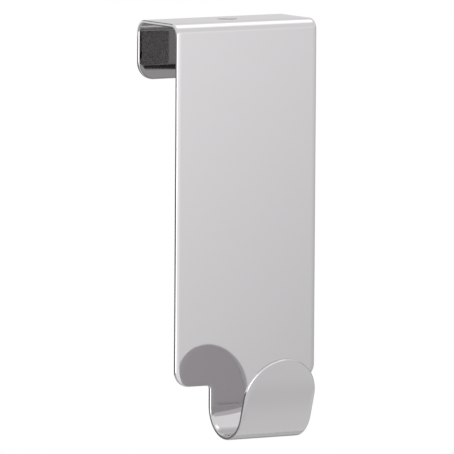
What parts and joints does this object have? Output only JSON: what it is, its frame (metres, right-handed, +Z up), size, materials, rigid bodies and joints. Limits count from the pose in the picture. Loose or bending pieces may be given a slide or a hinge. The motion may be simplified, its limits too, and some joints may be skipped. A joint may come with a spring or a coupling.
{
  "type": "over-door coat hook",
  "caption": "Polished steel strip folded over the top of a door, with a flat front plate and a narrow round-ended tongue curled up into a coat hook.",
  "frame": {"origin": "centre of the web's underside, where the hook sits on the top of the door, on the axis of the screw hole", "axes": "+Z up, +Y from the front plate to the back leg so that the tongue curls towards -Y, X across the strip"},
  "size_m": [0.05, 0.0468, 0.1262],
  "materials": {
    "polished_steel": "mirror-polished stainless steel sheet with tumbled edges"
  },
  "bodies": {
    "root": {"hook_strip": "polished_steel"}
  },
  "joints": []
}
